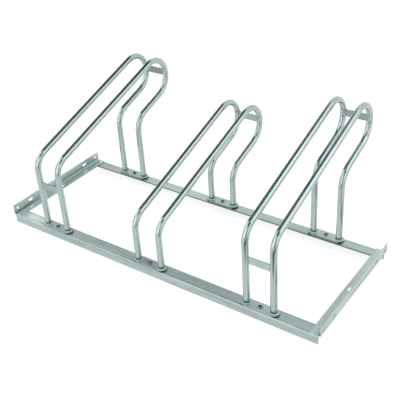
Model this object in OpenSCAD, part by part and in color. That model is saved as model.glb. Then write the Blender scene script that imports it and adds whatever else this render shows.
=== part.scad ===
// Floor bike rack with three wheel places, set high, low, high.
// Two angle-steel rails and two side bars make the base. Each place is a pair of
// bent tubes on bolted foot plates, tied by flat cross bars.
// X runs along the rails, Y from the front to the back, Z is up, the floor is at zero.

/* [Base] */
// Length over the two side bars
base_length = 1050; // [950:10:1300]
// Depth over the two rails
base_depth = 390; // [350:5:450]
// How far each rail stops short of the side bar's outer face
rail_setback = 7; // [2:1:14]
// Height of a rail, down its outer flange
rail_height = 25; // [22:1:40]
// Width of a rail's top flange
rail_width = 35; // [31:1:50]
// Steel thickness of the rails
rail_wall = 3; // [2:0.5:4]

/* [Side bars] */
// Height of a side bar's standing flange
bar_height = 30; // [26:1:40]
// Width of a side bar's lying flange
bar_width = 30; // [26:1:45]
// Steel thickness of the side bars
bar_wall = 3; // [2:0.5:4]
// How far each end of a side bar stops short of the rail's outer face
bar_setback = 2; // [0:1:10]
// Inner radius of the bend in rails and side bars
fold_radius = 1.5; // [0.5:0.5:2.5]

/* [Joining holes] */
// Width of the round and slotted holes
hole_size = 9; // [6:0.5:11]
// End-to-end length of a slotted hole
slot_length = 18; // [13:1:24]
// Distance of a round hole from the end of its side bar
hole_inset = 14; // [8:1:24]
// Distance of a joining slot's middle from the end of its side bar
slot_inset = 69; // [50:1:120]
// Height of the joining holes above the side bar's underside
hole_height = 16; // [12:0.5:19]
// Distance of the floor anchor slot from the side bar's outer face
anchor_inset = 17; // [14:0.5:20]

/* [Stands] */
// Distance from one wheel place to the next
stand_pitch = 350; // [250:5:400]
// Clear width between the two tubes of a stand
wheel_gap = 61; // [45:1:75]
// Outer diameter of the tube
tube_size = 18; // [14:1:24]
// Wall of the tube
tube_wall = 1.5; // [1:0.5:3]
// Distance of a leg's centre line from its rail's outer face
leg_inset = 16; // [15:0.5:18]
// Height above the floor where a high stand's front leg and slope would cross
knee_height = 245; // [220:5:300]
// How much lower the low stand is
low_drop = 85; // [40:5:90]
// Angle of the sloping tube above the floor
slope = 18.2; // [12:0.1:24]
// Centre-line radius of the bend over the front leg
front_bend = 50; // [35:1:60]
// Centre-line radius of the bend over the rear leg
rear_bend = 56; // [40:1:60]
// Centre-line radius of the half-turn at the back
hoop_radius = 61; // [55:1:70]
// Distance of the half-turn's centre from the front rail's outer face
hoop_reach = 473; // [470:1:560]

/* [Cross bars] */
// Height of a flat cross bar
tie_height = 20; // [12:1:25]
// Thickness of a flat cross bar
tie_wall = 4; // [3:0.5:6]
// Height above the floor of the middle of a high stand's front cross bar
front_tie_height = 164; // [90:1:170]
// Height of the rear cross bar's middle above the half-turn's centre
rear_tie_rise = 3; // [0:0.5:8]

/* [Foot plates and screws] */
// Width of a foot plate and of its round ends
plate_width = 30; // [24:1:30]
// Thickness of a foot plate
plate_wall = 5; // [3:0.5:8]
// Diameter of the foot screw
screw_size = 8; // [5:0.5:8]
// Length of the foot screw under its head
screw_length = 20; // [19:0.5:26]
// Diameter of the screw's domed head
head_size = 14; // [13:0.5:18]
// Height of the screw's domed head
head_height = 4.4; // [3.5:0.1:6]
// Width across the flats of the hexagon socket
socket_size = 5; // [3:0.5:6]
// Depth of the hexagon socket
socket_depth = 2.6; // [1.5:0.1:3]
// Outer diameter of the washer
washer_size = 16; // [14:0.5:20]
// Thickness of the washer
washer_wall = 1.6; // [1:0.1:2.5]
// Width across the flats of the nut
nut_size = 13; // [12:0.5:16]
// Height of the nut
nut_height = 6.5; // [4:0.5:7]

/* [Hidden] */

// Roundness of tubes, bends and holes
$fn = 64;
// How far a cut runs past the faces that it opens
overrun = 1;
// Gap between a cross bar's end and the tube that it is welded to
weld_gap = 0.15;
// Radial room round the screw in the nut and in the washer
thread_room = 0.15;
washer_room = 0.2;
// How much bending thins the tube's wall, on its outside and on its inside
bend_thinning = 0.05;
// How far a straight run laps over the end of each bend
lap = 0.5;

tube_pitch = wheel_gap + tube_size;
fold_outer_rail = fold_radius + rail_wall;
fold_outer_bar = fold_radius + bar_wall;
rail_length = base_length - 2 * rail_setback;
bar_length = base_depth - 2 * bar_setback;
leg_base = rail_height + plate_wall;
front_leg = leg_inset;
rear_leg = base_depth - leg_inset;
turn = 90 - slope;

// Heights of the half-turn's centre and of the rear knee, on a high stand
hoop_height = knee_height + (hoop_reach - hoop_radius * sin(slope) - front_leg) * tan(slope)
    - hoop_radius * cos(slope);
return_start = hoop_reach + hoop_radius * sin(slope);
rear_knee_height = hoop_height - hoop_radius * cos(slope) - (return_start - rear_leg) * tan(slope);

// The whole rack is centred front to back on the floor's origin
overall_depth = hoop_reach + hoop_radius + tube_size / 2;
left = -stand_pitch;
middle = 0;
right = stand_pitch;
stand_places = [left, middle, right];

zinc = [0.70, 0.74, 0.74];
bright_zinc = [0.80, 0.83, 0.83];
plain_zinc = [0.62, 0.67, 0.67];

module in_frame() {
    translate([0, -overall_depth / 2, 0]) children();
}

// An angle profile along +X with its heel on the axis, one leg along +Y, one along +Z
module angle_profile(length, width, height, wall, outer) {
    rotate([90, 0, 90]) linear_extrude(length) {
        translate([outer, 0]) square([width - outer, wall]);
        translate([0, outer]) square([wall, height - outer]);
        intersection() {
            translate([outer, outer]) difference() {
                circle(outer);
                circle(outer - wall);
            }
            square(outer);
        }
    }
}

// A flat slot outline along X
module slot_outline(length, width) {
    square([length - width, width], center = true);
    for (side = [-1, 1]) translate([side * (length - width) / 2, 0]) circle(width / 2);
}

module rail() {
    difference() {
        translate([-rail_length / 2, 0, rail_height]) mirror([0, 0, 1])
            angle_profile(rail_length, rail_width, rail_height, rail_wall, fold_outer_rail);
        for (place = stand_places)
            translate([place, leg_inset, rail_height - rail_wall - overrun])
                cylinder(d = hole_size, h = rail_wall + 2 * overrun);
    }
}

module front_rail() {
    color(zinc) in_frame() rail();
}

module rear_rail() {
    color(zinc) in_frame() translate([0, base_depth, 0]) mirror([0, 1, 0]) rail();
}

// The left side bar, standing flange at the outer face
module side_bar() {
    translate([-base_length / 2, bar_setback, rail_height]) difference() {
        translate([0, bar_length, 0]) rotate([0, 0, -90])
            angle_profile(bar_length, bar_width, bar_height, bar_wall, fold_outer_bar);
        for (place = [hole_inset, bar_length - hole_inset])
            translate([-overrun, place, hole_height]) rotate([0, 90, 0])
                cylinder(d = hole_size, h = bar_wall + 2 * overrun);
        for (place = [slot_inset, bar_length - slot_inset])
            translate([-overrun, place, hole_height]) rotate([90, 0, 90])
                linear_extrude(bar_wall + 2 * overrun) slot_outline(slot_length, hole_size);
        translate([anchor_inset, bar_length / 2, -overrun]) rotate([0, 0, 90])
            linear_extrude(bar_wall + 2 * overrun) slot_outline(slot_length, hole_size);
    }
}

module left_side_bar() {
    color(zinc) in_frame() side_bar();
}

module right_side_bar() {
    color(zinc) in_frame() mirror([1, 0, 0]) side_bar();
}

module tube_ring(thinning) {
    difference() {
        circle(d = tube_size - 2 * thinning);
        circle(d = tube_size - 2 * tube_wall + 2 * thinning);
    }
}

// A straight run of tube from a point in the YZ plane, at an angle above +Y
module straight_run(y, z, angle, start, end) {
    translate([0, y, z]) rotate([angle - 90, 0, 0]) translate([0, 0, start])
        linear_extrude(end - start) tube_ring(0);
}

// A bend of tube round a centre in the YZ plane, from one angle to another
module bent_run(y, z, radius, from, to) {
    translate([0, y, z]) rotate([90, 0, 90]) rotate([0, 0, from])
        rotate_extrude(angle = to - from) translate([radius, 0]) tube_ring(bend_thinning);
}

// A leg and the bend over it, which ends in the slope's direction
module leg_and_bend(y, knee, radius) {
    bend_start = knee - radius * tan(turn / 2);
    straight_run(y, leg_base, 90, 0, bend_start - leg_base + lap);
    bent_run(y + radius, bend_start, radius, 90 + slope, 180);
}

// A run along the slope, from the bend over a leg to a given Y
module slope_run(y, knee, radius, until) {
    bend_start = knee - radius * tan(turn / 2);
    from_y = y + radius - radius * sin(slope);
    from_z = bend_start + radius * cos(slope);
    straight_run(from_y, from_z, slope, -lap, (until - from_y) / cos(slope) + lap);
}

// One bent tube: front leg, long slope, half-turn at the back, short slope, rear leg
module stand_tube(place, side, drop) {
    color(bright_zinc) in_frame() translate([place + side * tube_pitch / 2, 0, 0]) {
        leg_and_bend(front_leg, knee_height - drop, front_bend);
        slope_run(front_leg, knee_height - drop, front_bend, hoop_reach - hoop_radius * sin(slope));
        bent_run(hoop_reach, hoop_height - drop, hoop_radius, slope - 90, slope + 90);
        slope_run(rear_leg, rear_knee_height - drop, rear_bend, return_start);
        leg_and_bend(rear_leg, rear_knee_height - drop, rear_bend);
    }
}

// An oblong plate on the rail's top flange, its round ends centred on the tubes
module foot_plate(place, leg) {
    color(plain_zinc) in_frame() translate([place, leg, rail_height]) linear_extrude(plate_wall)
        difference() {
            slot_outline(tube_pitch + plate_width, plate_width);
            circle(d = hole_size);
        }
}

// A flat bar between the two tubes of a stand
module tie(place, y, z) {
    color(plain_zinc) in_frame() translate([place, y, z])
        cube([wheel_gap - 2 * weld_gap, tie_wall, tie_height], center = true);
}

module rear_tie(place, drop) {
    tie(place, hoop_reach + hoop_radius, hoop_height + rear_tie_rise - drop);
}

module front_tie(place) {
    tie(place, front_leg, front_tie_height);
}

module at_each_foot(z) {
    in_frame() for (place = stand_places) for (leg = [front_leg, rear_leg])
        translate([place, leg, z]) children();
}

// A domed screw with a hexagon socket, its head resting on zero
module foot_screw() {
    dome = (pow(head_size / 2, 2) + pow(head_height, 2)) / (2 * head_height);
    difference() {
        union() {
            intersection() {
                translate([0, 0, head_height - dome]) sphere(dome);
                cylinder(d = head_size, h = head_height);
            }
            translate([0, 0, -screw_length]) cylinder(d = screw_size, h = screw_length);
        }
        translate([0, 0, head_height - socket_depth])
            cylinder(d = socket_size / cos(30), h = socket_depth + overrun, $fn = 6);
    }
}

module foot_screws() {
    color(bright_zinc) at_each_foot(leg_base) foot_screw();
}

module foot_washers() {
    color(bright_zinc) at_each_foot(rail_height - rail_wall - washer_wall)
        linear_extrude(washer_wall) difference() {
            circle(d = washer_size);
            circle(d = screw_size + 2 * washer_room);
        }
}

module foot_nuts() {
    color(bright_zinc) at_each_foot(rail_height - rail_wall - washer_wall - nut_height)
        difference() {
            cylinder(d = nut_size / cos(30), h = nut_height, $fn = 6);
            translate([0, 0, -overrun])
                cylinder(d = screw_size + 2 * thread_room, h = nut_height + 2 * overrun);
        }
}

front_rail();
rear_rail();
left_side_bar();
right_side_bar();
stand_tube(left, -1, 0);  // left_stand_tube_left
stand_tube(left, 1, 0);  // left_stand_tube_right
stand_tube(middle, -1, low_drop);  // middle_stand_tube_left
stand_tube(middle, 1, low_drop);  // middle_stand_tube_right
stand_tube(right, -1, 0);  // right_stand_tube_left
stand_tube(right, 1, 0);  // right_stand_tube_right
foot_plate(left, front_leg);  // left_stand_front_foot
foot_plate(left, rear_leg);  // left_stand_rear_foot
foot_plate(middle, front_leg);  // middle_stand_front_foot
foot_plate(middle, rear_leg);  // middle_stand_rear_foot
foot_plate(right, front_leg);  // right_stand_front_foot
foot_plate(right, rear_leg);  // right_stand_rear_foot
rear_tie(left, 0);  // left_stand_rear_tie
rear_tie(middle, low_drop);  // middle_stand_rear_tie
rear_tie(right, 0);  // right_stand_rear_tie
front_tie(left);  // left_stand_front_tie
front_tie(right);  // right_stand_front_tie
foot_screws();
foot_washers();
foot_nuts();
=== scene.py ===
# %% [markdown]
# # A galvanised floor bike rack
# The rack is a low frame of angle steel with three pairs of bent tubes on it. Its solids come
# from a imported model, which is the fixed frame of this scene: every piece made here lies
# where that model says. The scene adds what the solids can't hold: zinc, weld beads, light.

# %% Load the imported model
import math

import bmesh
import bpy
from mathutils import Matrix, Vector


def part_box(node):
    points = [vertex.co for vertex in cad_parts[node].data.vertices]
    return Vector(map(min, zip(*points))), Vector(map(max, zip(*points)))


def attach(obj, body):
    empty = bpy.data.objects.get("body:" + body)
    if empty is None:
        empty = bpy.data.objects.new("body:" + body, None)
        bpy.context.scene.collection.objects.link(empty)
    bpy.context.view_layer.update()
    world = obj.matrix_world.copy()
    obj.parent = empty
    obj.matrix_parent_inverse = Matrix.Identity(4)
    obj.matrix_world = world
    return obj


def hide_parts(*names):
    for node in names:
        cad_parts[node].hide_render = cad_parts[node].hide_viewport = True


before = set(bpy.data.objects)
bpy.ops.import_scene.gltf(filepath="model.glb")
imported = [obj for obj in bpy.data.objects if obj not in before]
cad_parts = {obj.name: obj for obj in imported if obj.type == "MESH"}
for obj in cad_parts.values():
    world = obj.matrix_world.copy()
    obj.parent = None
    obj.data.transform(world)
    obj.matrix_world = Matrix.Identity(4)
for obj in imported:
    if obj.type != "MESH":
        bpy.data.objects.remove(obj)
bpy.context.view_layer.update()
MM = 0.001

# %% [markdown]
# ## The camera
# A picture can be compared with a photograph only if both are taken from one place. That
# place could be found by eye, by turning the view until it looks right. Here it was worked
# out from the rack itself: its edges and tubes have known lengths, and only one camera sees
# them at the photograph's angles. A camera's axes are the columns of its matrix, so the three
# directions are written out, with the small roll last.

# %% Camera
CAMERA_PLACE = Vector((1.0828, -1.4345, 1.2359))
CAMERA_AZIMUTH = math.radians(37.265)
CAMERA_ELEVATION = math.radians(32.459)
CAMERA_ROLL = math.radians(-4.082)
FOCAL_PIXELS = 728.72
FRAME_PIXELS = 400
SENSOR_MM = 36


def camera_axes(azimuth, elevation, roll):
    """The camera's right, up and back directions, as the columns of a matrix."""
    flat = math.cos(elevation)
    back = Vector((math.sin(azimuth) * flat, -math.cos(azimuth) * flat, math.sin(elevation)))
    level = Vector((math.cos(azimuth), math.sin(azimuth), 0))
    upright = back.cross(level)
    right = math.cos(roll) * level + math.sin(roll) * upright
    up = -math.sin(roll) * level + math.cos(roll) * upright
    return Matrix((right, up, back)).transposed()


camera_data = bpy.data.cameras.new("camera")
camera_data.sensor_width = SENSOR_MM
camera_data.lens = SENSOR_MM * FOCAL_PIXELS / FRAME_PIXELS
camera = bpy.data.objects.new("camera", camera_data)
bpy.context.scene.collection.objects.link(camera)
turned = camera_axes(CAMERA_AZIMUTH, CAMERA_ELEVATION, CAMERA_ROLL).to_4x4()
camera.matrix_world = Matrix.Translation(CAMERA_PLACE) @ turned
bpy.context.scene.camera = camera
bpy.context.scene.view_settings.view_transform = "Standard"
print("lens:", round(camera_data.lens, 2), "mm")

# %% [markdown]
# ## Node groups for zinc
# Zinc on steel is never one flat grey. It freezes in crystals, it carries the lines of the
# rollers and dies that shaped the steel, and it dulls in soft clouds. Every material could
# hold its own copy of these nodes, but then each change would be made many times. So each
# effect is one node group with named sockets, built once, and every zinc material places the
# groups with its own values. The groups give values only, and the shader stays in the material.

# %% Helpers that make nodes
def new_group(name, inputs, outputs):
    """A shader node group with named sockets, and its nodes for input and output."""
    tree = bpy.data.node_groups.new(name, "ShaderNodeTree")
    for in_out, sockets in (("INPUT", inputs), ("OUTPUT", outputs)):
        for socket_name, kind in sockets.items():
            tree.interface.new_socket(name=socket_name, in_out=in_out, socket_type=kind)
    return tree, tree.nodes.new("NodeGroupInput"), tree.nodes.new("NodeGroupOutput")


def feed(tree, socket, value):
    """A link into the socket if the value is a socket too, or else its plain value."""
    if isinstance(value, bpy.types.NodeSocket):
        tree.links.new(value, socket)
    else:
        socket.default_value = value


def vector_node(tree, operation, *values):
    """A Vector Math node's outputs. Its inputs are sockets or vectors."""
    node = tree.nodes.new("ShaderNodeVectorMath")
    node.operation = operation
    for socket, value in zip(node.inputs, values):
        feed(tree, socket, value)
    return node.outputs


def noise(tree, vector, detail, scale=1.0):
    """A Noise Texture's outputs: Fac is its value from 0 to 1, and Color has three of them."""
    node = tree.nodes.new("ShaderNodeTexNoise")
    node.inputs["Scale"].default_value = scale
    node.inputs["Detail"].default_value = detail
    tree.links.new(vector, node.inputs["Vector"])
    return node.outputs


# %% [markdown]
# ### Crystals
# Hot zinc cools to flat crystals, each a slightly other grey. They could be painted, but a
# Voronoi texture cuts space into just such cells, and the cell's own random colour is its
# grey. A little noise on the position breaks the cells' straight edges.

# %% Group: crystals
WARP_SIZE = 6 * MM
WARPS_PER_METRE = 160
WARP_DETAIL = 2


def make_crystals():
    """From a position, the random shade of the crystal that it lies in."""
    tree, given, out = new_group(
        "zinc_crystals",
        {"Position": "NodeSocketVector", "Crystals per metre": "NodeSocketFloat"},
        {"Shade": "NodeSocketFloat"},
    )
    position = given.outputs["Position"]
    warp = noise(tree, position, WARP_DETAIL, WARPS_PER_METRE)["Color"]
    small = vector_node(tree, "MULTIPLY", warp, (WARP_SIZE, WARP_SIZE, WARP_SIZE))["Vector"]
    moved = vector_node(tree, "ADD", position, small)["Vector"]
    cells = tree.nodes.new("ShaderNodeTexVoronoi")
    tree.links.new(moved, cells.inputs["Vector"])
    tree.links.new(given.outputs["Crystals per metre"], cells.inputs["Scale"])
    split = tree.nodes.new("ShaderNodeSeparateColor")
    tree.links.new(cells.outputs["Color"], split.inputs["Color"])
    tree.links.new(split.outputs["Red"], out.inputs["Shade"])
    return tree


CRYSTALS = make_crystals()
print("node group:", CRYSTALS.name)

# %% [markdown]
# ### Drawn lines
# A roller or a die leaves fine lines along the steel. Thousands of thin grooves in the mesh
# would be slow. Noise that is squeezed across the piece and stretched along it is just such
# lines, so the group takes one scale vector.

# %% Group: drawn lines
LINE_DETAIL = 3


def make_lines():
    """From a position, the height of the fine lines there."""
    tree, given, out = new_group(
        "drawn_lines",
        {"Position": "NodeSocketVector", "Lines per metre": "NodeSocketVector"},
        {"Line": "NodeSocketFloat"},
    )
    scale = given.outputs["Lines per metre"]
    lengthwise = vector_node(tree, "MULTIPLY", given.outputs["Position"], scale)["Vector"]
    tree.links.new(noise(tree, lengthwise, LINE_DETAIL)["Fac"], out.inputs["Line"])
    return tree


LINES = make_lines()
print("node group:", LINES.name)

# %% [markdown]
# ### Clouds
# Zinc runs along the steel as it drains, and it dulls where damp stood on it. A painted
# picture of such patches would need a fitting for every piece. Two soft noises, one broad and
# one finer, give them to any piece as a mask that moves both colour and roughness. Noise
# gathers round one half, so the mask is stretched to use the whole range from 0 to 1.

# %% Helpers that reckon with values
def math_node(tree, operation, *values):
    """A Math node whose inputs are sockets or numbers. It gives the result's socket."""
    node = tree.nodes.new("ShaderNodeMath")
    node.operation = operation
    for socket, value in zip(node.inputs, values):
        feed(tree, socket, value)
    return node.outputs[0]


def product(tree, first, *others):
    """All of the sockets or numbers multiplied. The first is a socket."""
    result = first
    for other in others:
        result = math_node(tree, "MULTIPLY", result, other)
    return result


def in_range(tree, value, start, end, least=0.0, most=1.0):
    """The least where the value is at the start or before it, the most at the end or past it."""
    node = tree.nodes.new("ShaderNodeMapRange")
    limits = {"From Min": start, "From Max": end, "To Min": least, "To Max": most}
    for socket_name, limit in limits.items():
        node.inputs[socket_name].default_value = limit
    tree.links.new(value, node.inputs["Value"])
    return node.outputs["Result"]


# %% Group: clouds
BROAD_DETAIL = 2
BROAD_SHARE = 0.65
FINE_DETAIL = 4
FINE_SCALE = 5.0
CLOUD_RANGE = (0.34, 0.66)


def make_clouds():
    """From a position, how dull the zinc is there, from 0 to 1."""
    tree, given, out = new_group(
        "dull_clouds",
        {"Position": "NodeSocketVector", "Clouds per metre": "NodeSocketVector"},
        {"Cloud": "NodeSocketFloat"},
    )
    scale = given.outputs["Clouds per metre"]
    lengthwise = vector_node(tree, "MULTIPLY", given.outputs["Position"], scale)["Vector"]
    broad = product(tree, noise(tree, lengthwise, BROAD_DETAIL)["Fac"], BROAD_SHARE)
    fine = product(tree, noise(tree, lengthwise, FINE_DETAIL, FINE_SCALE)["Fac"], 1 - BROAD_SHARE)
    both = math_node(tree, "ADD", broad, fine)
    tree.links.new(in_range(tree, both, *CLOUD_RANGE), out.inputs["Cloud"])
    return tree


CLOUDS = make_clouds()
print("node group:", CLOUDS.name)

# %% [markdown]
# ## Zinc finishes
# All the pieces were dipped or plated in zinc, and yet a drawn tube and an angle bar look
# quite different. Each could have a material built by hand. One function makes them all
# instead, from a few values: two greys, a roughness range, how strongly the crystals show,
# how deep the lines are and which way they run. Roughness tells a bright tube from a dull
# bar. Clean zinc is all metal, and weathered zinc carries a white film, so Metallic is 1 on
# the tubes and the screws and less on a duller coat.

# %% Helpers inside a material
# A Mix node has sockets of the same name for numbers, vectors and colours, so the colours'
# own ones are found by their place.
COLOUR_A = 6
COLOUR_B = 7
COLOUR_RESULT = 2


def mixed(tree, first, second, factor):
    """Two colours mixed by a factor's socket. Each is a linear colour or a socket."""
    node = tree.nodes.new("ShaderNodeMix")
    node.data_type = "RGBA"
    for index, value in ((COLOUR_A, first), (COLOUR_B, second)):
        feed(tree, node.inputs[index], (*value, 1) if isinstance(value, tuple) else value)
    tree.links.new(factor, node.inputs["Factor"])
    return node.outputs[COLOUR_RESULT]


def place_group(tree, group, position, input_name, value):
    """The output of a group that is placed with its own value."""
    node = tree.nodes.new("ShaderNodeGroup")
    node.node_tree = group
    node.inputs[input_name].default_value = value
    tree.links.new(position, node.inputs["Position"])
    return node.outputs[0]


def surface_position(tree, kept):
    """The place in the object's own space, or the one that its points keep under a name."""
    if kept is None:
        return tree.nodes.new("ShaderNodeTexCoord").outputs["Object"]
    source = tree.nodes.new("ShaderNodeAttribute")
    source.attribute_name = kept
    return source.outputs["Vector"]


# %% Zinc material
def zinc(name, dark, light, rough, crystals, crystal_share, lines, line_height, clouds,
         metallic=1.0, kept_position=None, marks=()):
    """A zinc finish. Greys are linear colours, rough is (least, most), lines and clouds are
    scale vectors. Each mark is a function that gives a mask, and the grey that it brings."""
    material = bpy.data.materials.new(name)
    material.use_nodes = True
    tree = material.node_tree
    shader = tree.nodes["Principled BSDF"]
    shader.inputs["Metallic"].default_value = metallic
    position = surface_position(tree, kept_position)
    shade = place_group(tree, CRYSTALS, position, "Crystals per metre", crystals)
    line = place_group(tree, LINES, position, "Lines per metre", lines)
    cloud = place_group(tree, CLOUDS, position, "Clouds per metre", clouds)
    crystal_part = product(tree, shade, crystal_share)
    cloud_part = product(tree, cloud, 1 - crystal_share)
    colour = mixed(tree, dark, light, math_node(tree, "ADD", crystal_part, cloud_part))
    for mask, grey in marks:
        colour = mixed(tree, colour, grey, mask(tree, position))
    tree.links.new(colour, shader.inputs["Base Color"])
    tree.links.new(in_range(tree, cloud, 0, 1, *rough), shader.inputs["Roughness"])
    bump = tree.nodes.new("ShaderNodeBump")
    bump.inputs["Strength"].default_value = 1.0
    bump.inputs["Distance"].default_value = line_height
    tree.links.new(line, bump.inputs["Height"])
    tree.links.new(bump.outputs["Normal"], shader.inputs["Normal"])
    return material


# %% [markdown]
# ## Painted light and shade in the zinc
# The marks here are painted light and shade in the zinc's colour. Painted highlights make level flanges
# pale, and painted shade darkens cut edges, corners and the sides of the foot plates. Such places could
# be painted point by point. A mask worked out from place and facing needs no painting, stays sharp at
# any size and belongs to the surface in every view. Each mark here is a function that gives such a mask,
# and the material mixes its colour towards a dark or a pale grey by it. A pair of values says where the
# mask starts and where it is full.

# %% Helpers for marks
# SHADE_GREY is the colour of painted shade, and the pale grey is the colour of painted highlights.
SHADE_GREY = (0.03, 0.035, 0.035)
HIGHLIGHT_GREY = (0.80, 0.92, 0.90)


def parts(tree, vector):
    """A vector's X, Y and Z."""
    node = tree.nodes.new("ShaderNodeSeparateXYZ")
    tree.links.new(vector, node.inputs[0])
    return node.outputs


def facing(tree):
    """The X, Y and Z of the way that a face looks."""
    return parts(tree, tree.nodes.new("ShaderNodeNewGeometry").outputs["Normal"])


def size_of(tree, value):
    """The value without its sign."""
    return math_node(tree, "ABSOLUTE", value)


# %% [markdown]
# ### Painted shade on the plates
# Round the end of each foot plate runs a dark crescent of painted shade, for the shadow where the
# plate's side stands on the rail. The mask takes faces that stand upright, below their top edge, and it
# is strongest where they look along the rail.

# %% Marks on the plates
PLATE_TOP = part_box("left_stand_front_foot")[1].z
PLATE_SIDE_UPRIGHT = (0.6, 0.3)
PLATE_SIDE_HEIGHT = (PLATE_TOP - 0.5 * MM, PLATE_TOP - 1 * MM)
PLATE_END_FACING = (-0.2, 0.3)


def plate_side_shade(tree, position):
    """Painted shade on a plate's upright sides below the top edge, darkest round its ends."""
    face = facing(tree)
    upright = in_range(tree, size_of(tree, face["Z"]), *PLATE_SIDE_UPRIGHT)
    below = in_range(tree, parts(tree, position)["Z"], *PLATE_SIDE_HEIGHT)
    end = in_range(tree, size_of(tree, face["X"]), *PLATE_END_FACING)
    return product(tree, upright, below, end)


print("plates' tops lie at", round(PLATE_TOP / MM, 1), "mm")

# %% [markdown]
# ### Painted light and shade on the rails
# The rails were sheared from sheet. The cut edge of the top flange is painted dark, as painted shade for
# the shadow under that edge. The flange itself carries a painted highlight towards the left, most of all
# at the front rail's left end. One material serves both rails, so the masks count from the line halfway
# between them.

# %% Places on the rails
RAIL_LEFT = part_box("front_rail")[0].x
RAIL_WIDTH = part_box("front_rail")[1].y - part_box("front_rail")[0].y
RAIL_MIDDLE = (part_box("front_rail")[0].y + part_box("rear_rail")[1].y) / 2
RAIL_EDGE = RAIL_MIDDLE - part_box("front_rail")[1].y
print("rails are", round(RAIL_WIDTH / MM, 1), "mm wide, their edges", round(RAIL_EDGE / MM, 1), "mm out")

# %% Marks on the rails
TOP_PALE = 0.33
TOP_RISE = (0.25, -0.05)
TOP_FALL = (RAIL_LEFT, RAIL_LEFT / 2)
TOP_FACING = (0.94, 0.995)
LEFT_END_PALE = 0.9
LEFT_END = (RAIL_LEFT + 150 * MM, RAIL_LEFT + 70 * MM)
FRONT_SIDE = (RAIL_MIDDLE, RAIL_MIDDLE - RAIL_WIDTH)
EDGE_SHADE = 0.8
EDGE_REACH = (RAIL_EDGE + 0.4 * MM, RAIL_EDGE + 0.1 * MM)
BESIDE_SHADE = 0.4
BESIDE_REACH = (RAIL_EDGE + 3.5 * MM, RAIL_EDGE)


def rail_top_highlight(tree, position):
    """Painted highlight on the top flanges: a little left of the middle, much at the front rail's left
    end.
    """
    place = parts(tree, position)
    rise = in_range(tree, place["X"], *TOP_RISE)
    fall = in_range(tree, place["X"], *TOP_FALL)
    broad = product(tree, rise, fall, TOP_PALE)
    left_end = in_range(tree, place["X"], *LEFT_END)
    front = product(tree, left_end, LEFT_END_PALE, in_range(tree, place["Y"], *FRONT_SIDE))
    paler = math_node(tree, "MAXIMUM", broad, front)
    return product(tree, paler, in_range(tree, facing(tree)["Z"], *TOP_FACING))


def rail_edge_shade(tree, position):
    """Painted shade on the cut edge of a rail's top flange, and a little beside it."""
    from_middle = math_node(tree, "SUBTRACT", parts(tree, position)["Y"], RAIL_MIDDLE)
    away = size_of(tree, from_middle)
    beside = product(tree, in_range(tree, away, *BESIDE_REACH), BESIDE_SHADE)
    edge = product(tree, in_range(tree, away, *EDGE_REACH), EDGE_SHADE)
    return math_node(tree, "MAXIMUM", beside, edge)


# %% [markdown]
# ### Painted light and shade on the side bars
# A side bar is sheet that a press folded to an L. Painted shade darkens the inner corner at the front,
# two thin lines of painted shade run beside the corner, and a painted highlight makes the lying flange
# pale. Left and right bar mirror each other, so the masks use the distance from the corner with the sign
# of X taken away.

# %% Places on the side bars
BAR_WALL = 3 * MM
BAR_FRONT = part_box("left_side_bar")[0].y
BAR_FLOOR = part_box("right_side_bar")[0].z + BAR_WALL
BAR_FOLD = (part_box("right_side_bar")[1].x - BAR_WALL, 0, BAR_FLOOR)


def from_fold(tree, position):
    """The distance from the inner corner of a side bar."""
    flat = vector_node(tree, "MULTIPLY", position, (1, 0, 1))["Vector"]
    mirrored = vector_node(tree, "ABSOLUTE", flat)["Vector"]
    return vector_node(tree, "DISTANCE", mirrored, BAR_FOLD)["Value"]


print("side bars' corner lies", round(BAR_FOLD[0] / MM, 1), "mm from the middle")

# %% Marks on the side bars
FOLD_SHADE = 0.55
FOLD_REACH = (8 * MM, 4 * MM)
FOLD_UP = (BAR_FLOOR + 4 * MM, BAR_FLOOR + 1 * MM)
FOLD_BACK = (BAR_FRONT + 120 * MM, BAR_FRONT + 60 * MM)
# Two thin lines of painted shade beside the corner.
SHADE_LINE_STRENGTH = 0.25
SHADE_LINE_START = (4 * MM, 7.5 * MM)
SHADE_LINE_END = (13 * MM, 9 * MM)
SHADE_LINE_BACK = (BAR_FRONT + 140 * MM, BAR_FRONT + 200 * MM)
BAR_TOP_PALE = 0.33
BAR_TOP_LEFTWARDS = (0.8, -0.5)
BAR_TOP_FACING = (0.5, 0.9)


def bar_corner_shade(tree, position):
    """Painted shade low in the corner at the bar's front end."""
    place = parts(tree, position)
    near = in_range(tree, from_fold(tree, position), *FOLD_REACH)
    low = in_range(tree, place["Z"], *FOLD_UP)
    front = in_range(tree, place["Y"], *FOLD_BACK)
    return product(tree, near, low, front, FOLD_SHADE)


def bar_shade_lines(tree, position):
    """A line of painted shade on each side of the corner."""
    away = from_fold(tree, position)
    start = in_range(tree, away, *SHADE_LINE_START)
    end = in_range(tree, away, *SHADE_LINE_END)
    back = in_range(tree, parts(tree, position)["Y"], *SHADE_LINE_BACK)
    return product(tree, start, end, back, SHADE_LINE_STRENGTH)


def bar_top_highlight(tree, position):
    """Painted highlight on the lying flanges, stronger on the left one."""
    leftwards = in_range(tree, parts(tree, position)["X"], *BAR_TOP_LEFTWARDS)
    level = in_range(tree, facing(tree)["Z"], *BAR_TOP_FACING)
    return product(tree, leftwards, BAR_TOP_PALE, level)


# %% [markdown]
# ## The finishes of this rack
# The tubes are drawn smooth before they are plated, so they mirror the studio. The angle bars
# are sheet under a thicker, duller coat with smaller crystals. The plates lie between the two,
# a weld bead is dull and scaly, and the screws have a thin dark plating. The lines run along
# each piece: along X on rails and plates, along Y on side bars, and along the straightened
# tube on the tubes. Greys could be taken from a table of metals, but the photograph's are
# paler and a little green, so they were set by comparing each piece with the photograph.

# %% Finishes of tubes, rails and side bars
LINE_HEIGHT = 0.02 * MM

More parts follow.
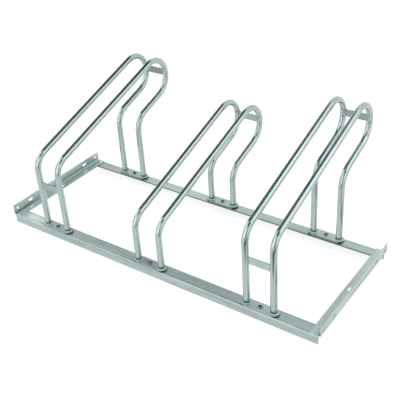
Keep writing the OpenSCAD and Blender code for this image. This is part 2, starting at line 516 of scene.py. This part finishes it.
TUBE_ZINC = zinc(
    "tube_zinc", dark=(0.36, 0.45, 0.44), light=(0.45, 0.545, 0.535), rough=(0.16, 0.26),
    crystals=60, crystal_share=0.15, lines=(500, 500, 5), line_height=LINE_HEIGHT,
    clouds=(30, 30, 7), kept_position="straightened",
)
RAIL_ZINC = zinc(
    "rail_zinc", dark=(0.33, 0.42, 0.41), light=(0.50, 0.62, 0.605), rough=(0.24, 0.40),
    crystals=90, crystal_share=0.12, lines=(5, 300, 300), line_height=LINE_HEIGHT,
    clouds=(5, 60, 60), metallic=0.75,
    # Painted highlight on the rails' top flanges and painted shade on their cut edges.
    marks=((rail_top_highlight, HIGHLIGHT_GREY), (rail_edge_shade, SHADE_GREY)),
)
BAR_ZINC = zinc(
    "bar_zinc", dark=(0.38, 0.465, 0.45), light=(0.58, 0.685, 0.67), rough=(0.22, 0.38),
    crystals=90, crystal_share=0.12, lines=(300, 5, 300), line_height=LINE_HEIGHT,
    clouds=(80, 5, 80), metallic=0.80,
    # Painted highlight on the lying flanges and painted shade in and beside the corner.
    marks=((bar_top_highlight, HIGHLIGHT_GREY), (bar_shade_lines, SHADE_GREY), (bar_corner_shade, SHADE_GREY)),
)
print("finishes:", [material.name for material in (TUBE_ZINC, RAIL_ZINC, BAR_ZINC)])

# %% Finishes of plates, weld beads and screws
WELD_LINE_HEIGHT = 0.10 * MM

PLATE_ZINC = zinc(
    "plate_zinc", dark=(0.38, 0.47, 0.46), light=(0.54, 0.66, 0.645), rough=(0.24, 0.38),
    crystals=110, crystal_share=0.2, lines=(8, 300, 300), line_height=LINE_HEIGHT,
    # Painted shade round the plates' sides.
    clouds=(30, 50, 50), metallic=0.75, marks=((plate_side_shade, SHADE_GREY),),
)
WELD_ZINC = zinc(
    "weld_zinc", dark=(0.44, 0.53, 0.52), light=(0.62, 0.71, 0.695), rough=(0.22, 0.40),
    crystals=300, crystal_share=0.4, lines=(300, 300, 300), line_height=WELD_LINE_HEIGHT,
    clouds=(90, 90, 90), metallic=0.4,
)
SCREW_ZINC = zinc(
    "screw_zinc", dark=(0.08, 0.10, 0.095), light=(0.20, 0.24, 0.235), rough=(0.20, 0.30),
    crystals=400, crystal_share=0.2, lines=(300, 300, 300), line_height=LINE_HEIGHT,
    clouds=(80, 80, 80),
)
print("finishes:", [material.name for material in (PLATE_ZINC, WELD_ZINC, SCREW_ZINC)])

# %% [markdown]
# ## The solids' finishes
# The rails, bars, plates, cross bars and screws have the right shape already. They could be
# modelled again with more detail, but their detail is all in the surface, so each keeps its
# solid and gets a zinc finish. A small bevel breaks the saw-cut edges, because no real edge
# is perfectly sharp and the thin bright line on it tells the eye that it is metal.

# %% Finish the rails, side bars, plates and screws
EDGE_BREAK = 0.35 * MM
EDGE_ANGLE = math.radians(50)
EDGE_SEGMENTS = 2
FINISHES = {"_rail": RAIL_ZINC, "_side_bar": BAR_ZINC, "_foot": PLATE_ZINC}


def finish(piece, material):
    """The piece has this material alone."""
    piece.data.materials.clear()
    piece.data.materials.append(material)


def break_edges(piece):
    """A small bevel on every edge that is sharper than the angle."""
    bevel = piece.modifiers.new("broken_edges", "BEVEL")
    bevel.width = EDGE_BREAK
    bevel.segments = EDGE_SEGMENTS
    bevel.limit_method = "ANGLE"
    bevel.angle_limit = EDGE_ANGLE
    bevel.use_clamp_overlap = True


for name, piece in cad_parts.items():
    if name.startswith("foot_"):
        finish(piece, SCREW_ZINC)
    elif "_tube_" not in name:
        break_edges(piece)
    for ending, material in FINISHES.items():
        if name.endswith(ending):
            finish(piece, material)
print("solids with broken edges:", sum(len(piece.modifiers) > 0 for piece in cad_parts.values()))

# %% [markdown]
# ## The cross bars
# Each stand is braced by one or two short flat bars, welded across its pair of tubes. Their brightness
# differs with where they stand, and the two high rear ones are darkest. One shared material couldn't
# show that, so each cross bar has its own copy of the finish, with both greys multiplied by a tone.
# These tones are painted light and shade.

# %% Finish the cross bars
TIE_DARK = (0.33, 0.42, 0.41)
TIE_LIGHT = (0.45, 0.56, 0.545)
# Each tone is painted light and shade: it sets how bright that bar looks where it stands.
TIE_TONES = {
    "left_stand_rear_tie": 0.62, "middle_stand_rear_tie": 1.06, "right_stand_rear_tie": 0.79,
    "left_stand_front_tie": 0.88, "right_stand_front_tie": 1.13,
}


def toned(grey, tone):
    """A grey that is darker or lighter by a factor."""
    return tuple(tone * v for v in grey)


for name, tone in TIE_TONES.items():
    tie_zinc = zinc(
        name + "_zinc", dark=toned(TIE_DARK, tone), light=toned(TIE_LIGHT, tone), rough=(0.26, 0.40),
        crystals=110, crystal_share=0.2, lines=(8, 300, 300), line_height=LINE_HEIGHT,
        clouds=(20, 50, 50), metallic=0.85,
    )
    finish(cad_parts[name], tie_zinc)
print("cross bars:", len(TIE_TONES))

# %% [markdown]
# ## The bent tubes
# Each place for a wheel is a pair of tubes, bent four times in one upright plane. The solids
# have flat facets, and a tube that mirrors a studio shows every one. They could be smoothed
# in shading alone, but the outline would keep its corners, so the tubes are swept anew and
# finely. The centre line is straight runs and arcs, the very ones of the solids, and the
# radius is a hair less than their 9 mm, so that nothing reaches past them. A ring of points is
# set square to the line at each step.

# %% Sizes of the tubes
TUBE_RADIUS = 8.95 * MM
LEG_INSET = 16 * MM
BASE_DEPTH = 390 * MM
KNEE_HEIGHT = 245 * MM
LOW_DROP = 85 * MM
SLOPE = math.radians(18.2)
FRONT_BEND = 50 * MM
REAR_BEND = 56 * MM
HOOP_RADIUS = 61 * MM
HOOP_REACH = 473 * MM
FRONT_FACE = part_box("front_rail")[0].y
LEG_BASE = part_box("left_stand_front_foot")[1].z
print("tubes stand", round((BASE_DEPTH - 2 * LEG_INSET) / MM), "mm apart from front leg to rear leg")

# %% The centre line of a tube
ARC_STEP = math.radians(3)


def arc(centre, radius, start, end):
    """Points (Y, Z) on an arc from one angle to another."""
    count = max(2, round(abs(end - start) / ARC_STEP))
    angles = [start + (end - start) * i / count for i in range(count + 1)]
    return [(centre[0] + radius * math.cos(a), centre[1] + radius * math.sin(a)) for a in angles]


def centre_line(drop):
    """Points (Y, Z) from the front foot over the slope and the half-turn to the rear foot."""
    knee = KNEE_HEIGHT - drop
    half_bend = (math.pi / 2 - SLOPE) / 2
    front = (LEG_INSET + FRONT_BEND, knee - FRONT_BEND * math.tan(half_bend))
    rise = (HOOP_REACH - HOOP_RADIUS * math.sin(SLOPE) - LEG_INSET) * math.tan(SLOPE)
    hoop = (HOOP_REACH, knee + rise - HOOP_RADIUS * math.cos(SLOPE))
    rear_leg = BASE_DEPTH - LEG_INSET
    back_y = HOOP_REACH + HOOP_RADIUS * math.sin(SLOPE)
    rear_knee = hoop[1] - HOOP_RADIUS * math.cos(SLOPE) - (back_y - rear_leg) * math.tan(SLOPE)
    rear = (rear_leg + REAR_BEND, rear_knee - REAR_BEND * math.tan(half_bend))
    return [
        (LEG_INSET, LEG_BASE),
        *arc(front, FRONT_BEND, math.pi, math.pi / 2 + SLOPE),
        *arc(hoop, HOOP_RADIUS, math.pi / 2 + SLOPE, SLOPE - math.pi / 2),
        *arc(rear, REAR_BEND, math.pi / 2 + SLOPE, math.pi),
        (rear_leg, LEG_BASE),
    ]


# %% Extra points on the straight runs
RUN_STEP = 12 * MM


def filled(points):
    """The same line with extra points along its straight runs."""
    line = [points[0]]
    for (y0, z0), (y1, z1) in zip(points, points[1:]):
        count = max(1, math.ceil(math.hypot(y1 - y0, z1 - z0) / RUN_STEP))
        steps = [i / count for i in range(1, count + 1)]
        line += [(y0 + (y1 - y0) * step, z0 + (z1 - z0) * step) for step in steps]
    return line


print("points on a high tube's centre line:", len(filled(centre_line(0))))

# %% [markdown]
# ### The sweep
# Blender can sweep a circle along a curve by itself. It is done by hand here, because each
# point also keeps where it would be on the tube before bending: the die drew its lines along
# the straight tube, and the zinc's nodes read that kept place instead of the bent one.

# %% Rings and faces of a tube
RING_POINTS = 48


def tube_rings(x, line):
    """The points of all rings, the same points on the straight tube, and the tube's length."""
    vertices, straight, length = [], [], 0.0
    for i, (y, z) in enumerate(line):
        before, after = line[max(i - 1, 0)], line[min(i + 1, len(line) - 1)]
        along = Vector((0, after[0] - before[0], after[1] - before[1])).normalized()
        outward = Vector((0, -along.z, along.y))
        if i:
            length += math.hypot(y - before[0], z - before[1])
        for k in range(RING_POINTS):
            angle = 2 * math.pi * k / RING_POINTS
            side, out = TUBE_RADIUS * math.cos(angle), TUBE_RADIUS * math.sin(angle)
            vertices.append(Vector((x + side, FRONT_FACE + y, z)) + outward * out)
            straight.append((side, out, length))
    return vertices, straight, length


def tube_faces(ring_count):
    """Faces between neighbouring rings, and one across each end."""
    faces = []
    for i in range(ring_count - 1):
        for k in range(RING_POINTS):
            a, b = i * RING_POINTS + k, i * RING_POINTS + (k + 1) % RING_POINTS
            faces.append((a, a + RING_POINTS, b + RING_POINTS, b))
    last = (ring_count - 1) * RING_POINTS
    faces.append(tuple(range(RING_POINTS)))
    faces.append(tuple(last + k for k in reversed(range(RING_POINTS))))
    return faces


# %% Sweep the six tubes
def swept_tube(name, x, drop):
    """A bent tube, smooth but for its two end faces, and its length."""
    line = filled(centre_line(drop))
    vertices, straight, length = tube_rings(x, line)
    faces = tube_faces(len(line))
    mesh = bpy.data.meshes.new(name)
    mesh.from_pydata(vertices, [], faces)
    kept = mesh.attributes.new("straightened", "FLOAT_VECTOR", "POINT")
    kept.data.foreach_set("vector", [v for point in straight for v in point])
    mesh.polygons.foreach_set("use_smooth", [len(face) < RING_POINTS for face in faces])
    mesh.update()
    piece = bpy.data.objects.new(name, mesh)
    bpy.context.scene.collection.objects.link(piece)
    return piece, length


for name in sorted(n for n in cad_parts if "_tube_" in n):
    low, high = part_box(name)
    drop = LOW_DROP if name.startswith("middle") else 0.0
    tube, length = swept_tube(name.replace("_tube_", "_bent_tube_"), (low.x + high.x) / 2, drop)
    finish(tube, TUBE_ZINC)
    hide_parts(name)
    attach(tube, "root")
    print(tube.name, "is", round(length, 3), "m of tube")

# %% [markdown]
# ## Weld beads
# A welder runs a bead round the foot of each tube, and one down each corner where a cross bar
# meets a tube. A smooth ring would look like a rubber seal. A real bead is a row of small
# overlapping scales, so it is swept as a thin ring or rod whose thickness rises and falls.
# Each bead lies half inside the pieces that it joins.

# %% Sweep a bead
BEAD_POINTS = 10
SCALE_RISE = 0.16
STEPS_PER_SCALE = 4
END_STEPS = 0.6
END_BLUNTNESS = 0.4


def bead_thickness(radius, i, count, closed):
    """The rippled radius at one step. An open bead also thins out towards its ends."""
    thick = radius * (1 + SCALE_RISE * math.sin(2 * math.pi * i / STEPS_PER_SCALE))
    if closed:
        return thick
    along = (i + END_STEPS) / (count - 1 + 2 * END_STEPS)
    return thick * math.sin(math.pi * along) ** END_BLUNTNESS


def bead(shape, path, radius, upright, closed):
    """Adds a rippled bead along a path to a bmesh. upright is never along the path."""
    count = len(path)
    angles = [2 * math.pi * k / BEAD_POINTS for k in range(BEAD_POINTS)]
    rings = []
    for i, point in enumerate(path):
        before = path[i - 1] if closed or i else point
        after = path[(i + 1) % count] if closed or i < count - 1 else point
        side = (after - before).cross(upright).normalized()
        up = side.cross(after - before).normalized()
        thick = bead_thickness(radius, i, count, closed)
        spokes = [math.cos(a) * side + math.sin(a) * up for a in angles]
        rings.append([shape.verts.new(point + thick * spoke) for spoke in spokes])
    for i in range(count if closed else count - 1):
        ring, following = rings[i], rings[(i + 1) % count]
        for k in range(BEAD_POINTS):
            beside = (k + 1) % BEAD_POINTS
            shape.faces.new((ring[k], ring[beside], following[beside], following[k]))
    if not closed:
        shape.faces.new(rings[0])
        shape.faces.new(rings[-1])


# %% One piece from several beads
def welds(name, beads):
    """A piece of beads, each given as a tuple of what bead() takes after the shape."""
    shape = bmesh.new()
    for given in beads:
        bead(shape, *given)
    bmesh.ops.recalc_face_normals(shape, faces=shape.faces)
    mesh = bpy.data.meshes.new(name)
    shape.to_mesh(mesh)
    shape.free()
    mesh.polygons.foreach_set("use_smooth", [True] * len(mesh.polygons))
    piece = bpy.data.objects.new(name, mesh)
    bpy.context.scene.collection.objects.link(piece)
    finish(piece, WELD_ZINC)
    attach(piece, "root")


# %% Beads at feet and cross bars
FOOT_BEAD = 2.2 * MM
FOOT_BEAD_OUT = FOOT_BEAD / 3
TIE_BEAD = 1.5 * MM
RING_STEPS = 88
ROD_STEPS = 26
UP = Vector((0, 0, 1))
ACROSS = Vector((1, 0, 0))


def foot_ring(x, y, z):
    """A closed path round the foot of a tube, a little out from its skin."""
    radius = TUBE_RADIUS + FOOT_BEAD_OUT
    turns = [2 * math.pi * i / RING_STEPS for i in range(RING_STEPS)]
    return [Vector((x + radius * math.cos(a), y + radius * math.sin(a), z)) for a in turns]


def rod(x, y, low, high):
    """An open upright path."""
    return [Vector((x, y, low + (high - low) * i / (ROD_STEPS - 1))) for i in range(ROD_STEPS)]


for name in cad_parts:
    if not name.endswith(("_foot", "_tie")):
        continue
    low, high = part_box(name)
    if name.endswith("_foot"):
        y, reach = (low.y + high.y) / 2, (high.y - low.y) / 2
        ends = (low.x + reach, high.x - reach)
        welds(name + "_welds", [(foot_ring(x, y, high.z), FOOT_BEAD, UP, True) for x in ends])
    else:
        corners = [(x, y) for x in (low.x, high.x) for y in (low.y, high.y)]
        rods = [rod(x, y, low.z + TIE_BEAD, high.z - TIE_BEAD) for x, y in corners]
        welds(name + "_welds", [(path, TIE_BEAD, ACROSS, False) for path in rods])

# %% [markdown]
# ## Floor
# The rack stands on a pale floor that runs out into white. More lamps could burn the floor to
# white, but they would burn the zinc too. So the floor's own colour is a mid grey that keeps
# the rack's shadow, and a share of plain white is added for what the camera and the metal see
# of it.

# %% Floor
WHITE = (1, 1, 1, 1)
FLOOR_SIZE = 12
FLOOR_GREY = (0.42, 0.425, 0.425)
FLOOR_ROUGHNESS = 0.9
FLOOR_SHINE = 0.1
FLOOR_GLOW = 0.77


def sheet(name, material_name, corners, colour, roughness, shine):
    """A flat sheet of the studio with a plain material. It gives the piece and its shader."""
    mesh = bpy.data.meshes.new(name)
    mesh.from_pydata(corners, [], [tuple(range(len(corners)))])
    piece = bpy.data.objects.new(name, mesh)
    bpy.context.scene.collection.objects.link(piece)
    material = bpy.data.materials.new(material_name)
    material.use_nodes = True
    mesh.materials.append(material)
    shader = material.node_tree.nodes["Principled BSDF"]
    shader.inputs["Base Color"].default_value = (*colour, 1)
    shader.inputs["Roughness"].default_value = roughness
    shader.inputs["Specular IOR Level"].default_value = shine
    shader.inputs["Emission Color"].default_value = WHITE
    return piece, shader


def seen_or_mirrored(tree):
    """1 for what the camera sees, straight or mirrored in metal, and 0 for light that falls."""
    path = tree.nodes.new("ShaderNodeLightPath")
    return math_node(tree, "MAXIMUM", path.outputs["Is Camera Ray"], path.outputs["Is Glossy Ray"])


half = FLOOR_SIZE / 2
floor_corners = [(-half, -half, 0), (half, -half, 0), (half, half, 0), (-half, half, 0)]
floor, floor_shader = sheet(
    "floor", "pale_floor", floor_corners, FLOOR_GREY, roughness=FLOOR_ROUGHNESS, shine=FLOOR_SHINE,
)
floor_tree = floor.data.materials[0].node_tree
floor_glow = product(floor_tree, seen_or_mirrored(floor_tree), FLOOR_GLOW)
floor_tree.links.new(floor_glow, floor_shader.inputs["Emission Strength"])
print("floor:", FLOOR_SIZE, "m wide")

# %% [markdown]
# ## World
# A studio has pale walls that light everything a little from all sides. They could be built,
# but the world does the same with one value. It lights the rack with its own strength, and it
# shows full white to the camera and in the metal.

# %% World
WORLD_LIGHT = 0.62

world = bpy.data.worlds.new("white_studio")
bpy.context.scene.world = world
world.use_nodes = True
background = world.node_tree.nodes["Background"]
background.inputs["Color"].default_value = WHITE
extra = product(world.node_tree, seen_or_mirrored(world.node_tree), 1 - WORLD_LIGHT)
strength = math_node(world.node_tree, "ADD", extra, WORLD_LIGHT)
world.node_tree.links.new(strength, background.inputs["Strength"])
print("world:", world.name)

# %% [markdown]
# ## Light
# Metal shows what stands round it, so lighting metal is placing things for it to mirror. A few
# small lamps would leave hard shadows and thin glints. Three large softboxes light the rack
# from the right, the front and the left instead. Their shadows stay soft and faint, and the
# tubes mirror them as broad pale stripes.

# %% Softboxes
MIDDLE = Vector((0, 0, 0.2))
SOFTBOX_DISTANCE = 2.4


def softbox(name, azimuth, elevation, size, radiance):
    """A softbox seen from the rack's middle at an azimuth from +Y towards +X, in degrees."""
    lamp = bpy.data.lights.new(name, "AREA")
    lamp.shape = "RECTANGLE"
    lamp.size, lamp.size_y = size
    lamp.energy = radiance * math.pi * size[0] * size[1]
    holder = bpy.data.objects.new(name, lamp)
    bpy.context.scene.collection.objects.link(holder)
    turn, rise = math.radians(azimuth), math.radians(elevation)
    flat = math.cos(rise)
    direction = Vector((math.sin(turn) * flat, math.cos(turn) * flat, math.sin(rise)))
    holder.location = MIDDLE + direction * SOFTBOX_DISTANCE
    holder.rotation_mode = "QUATERNION"
    holder.rotation_quaternion = (-direction).to_track_quat("-Z", "Y")


softbox("right_softbox", azimuth=77, elevation=36, size=(1.5, 1.2), radiance=1.15)
softbox("front_softbox", azimuth=-172, elevation=24, size=(1.4, 1.8), radiance=1.0)
softbox("left_softbox", azimuth=-105, elevation=32, size=(1.4, 1.2), radiance=1.1)

# %% [markdown]
# ## Cards
# The dark and bright lines along the tubes are mirrored things too. They could be painted on,
# but paint would stay where it is when the view changes. A photographer holds up cards
# instead, and so does this scene. A card shows in reflections alone: it throws no shadow,
# lights nothing else and stays out of the camera's sight.

# %% A card
CARD_TINT = (0.7, 1, 1)


def card(name, corners, grey=0.0, glow=0.0):
    """A flat card that only metal sees: a grey one, a glowing one, or both at once."""
    piece, shader = sheet(name, name, corners, toned(CARD_TINT, grey), roughness=1.0, shine=0.0)
    shader.inputs["Emission Strength"].default_value = glow
    piece.visible_camera = False
    piece.visible_diffuse = False
    piece.visible_shadow = False


# %% [markdown]
# ### Level cards
# Two grey cards overhead make the dark line of the slopes. They meet along a seam, and the
# nearer one is paler, because the lower ends of the slopes see it. One card in front of them
# and one on the floor darken the bends. Two glowing ones put the white line beside the dark
# one. Each has the outline that gives its line the right width, found by following rays from
# the camera over the tubes.

# %% Grey cards overhead and on the floor
CARD_HEIGHT = 1.75
FLOOR_CARD_HEIGHT = 2 * MM
SEAM = [(0.33, 0.3), (-1.0, 0.4), (-2.0, 0.85), (-3.6, 1.3)]
FAR_EDGE = [
    (0.32, 0.5), (0.05, 0.8), (-0.8, 1.15), (-1.5, 1.45), (-2.1, 1.6), (-2.5, 1.1), (-3.6, 1.4),
]
OVERHEAD_OUTLINE = [SEAM[0], *FAR_EDGE, *reversed(SEAM[1:])]
NEAR_OUTLINE = [(0.35, -0.4), *SEAM, (-3.6, 0.2)]
FLOOR_OUTLINE = [(0.35, -1.2), (1.4, -1.2), (1.4, -0.25), (0.7, -0.4), (0.35, -0.46)]
FRONT_OUTLINE = [(0.0, -1.2), (1.3, -1.2), (1.3, -0.4), (0.0, -0.4)]


def lying(height, outline):
    """The corners of a level card, from places (X, Y)."""
    return [(x, y, height) for x, y in outline]


card("overhead_card", lying(CARD_HEIGHT, OVERHEAD_OUTLINE), grey=0.13)
card("near_card", lying(CARD_HEIGHT, NEAR_OUTLINE), grey=0.45)
card("floor_card", lying(FLOOR_CARD_HEIGHT, FLOOR_OUTLINE), grey=0.3)
card("front_card", lying(CARD_HEIGHT, FRONT_OUTLINE), grey=0.12)

# %% Glowing cards overhead
RIGHT_GLOW_HEIGHT = 1.2
RIGHT_GLOW_OUTLINE = [(0.55, 0.10), (1.05, 0.10), (1.05, 0.65), (0.55, 0.65)]
LEFT_GLOW_OUTLINE = [(-3.4, 1.36), (-2.5, 1.3), (-2.5, 1.8), (-3.4, 1.8)]

card("right_glow", lying(RIGHT_GLOW_HEIGHT, RIGHT_GLOW_OUTLINE), glow=1.6)
card("left_glow", lying(CARD_HEIGHT, LEFT_GLOW_OUTLINE), glow=2.4)

# %% [markdown]
# ### Upright cards
# A bend turns through every direction, so it mirrors what stands beside and before the rack.
# A nearly black card far out on the left and a grey one beside the camera give the dark
# parts. Two glowing cards, one in front and one on the right, give the bright lines between.

# %% Upright cards
LEFT_X = -6
LEFT_OUTLINE = [(1.6, 0), (6, 0), (6, 1.2), (3.0, 2.8), (1.6, 2.8)]
SIDE_GLOW_X = 2.4
SIDE_GLOW_OUTLINE = [(-1.3, 0.25), (0, 0.25), (0, 1.3), (-1.3, 1.3)]
FRONT_GLOW_Y = -1
CAMERA_CARD_Y = -1.6


def facing_x(x, outline):
    """The corners of an upright card at one X, from places (Y, Z)."""
    return [(x, y, z) for y, z in outline]


def facing_y(y, left, right, low, high):
    """The corners of an upright oblong card at one Y."""
    return [(left, y, low), (right, y, low), (right, y, high), (left, y, high)]


card("left_card", facing_x(LEFT_X, LEFT_OUTLINE), grey=0.03)
card("front_glow", facing_y(FRONT_GLOW_Y, left=-0.4, right=0.1, low=0.25, high=1.1), glow=2.1)
card("side_glow", facing_x(SIDE_GLOW_X, SIDE_GLOW_OUTLINE), glow=1.7)
card("camera_card", facing_y(CAMERA_CARD_Y, left=0.8, right=2.2, low=0, high=1.75), grey=0.6, glow=0.3)
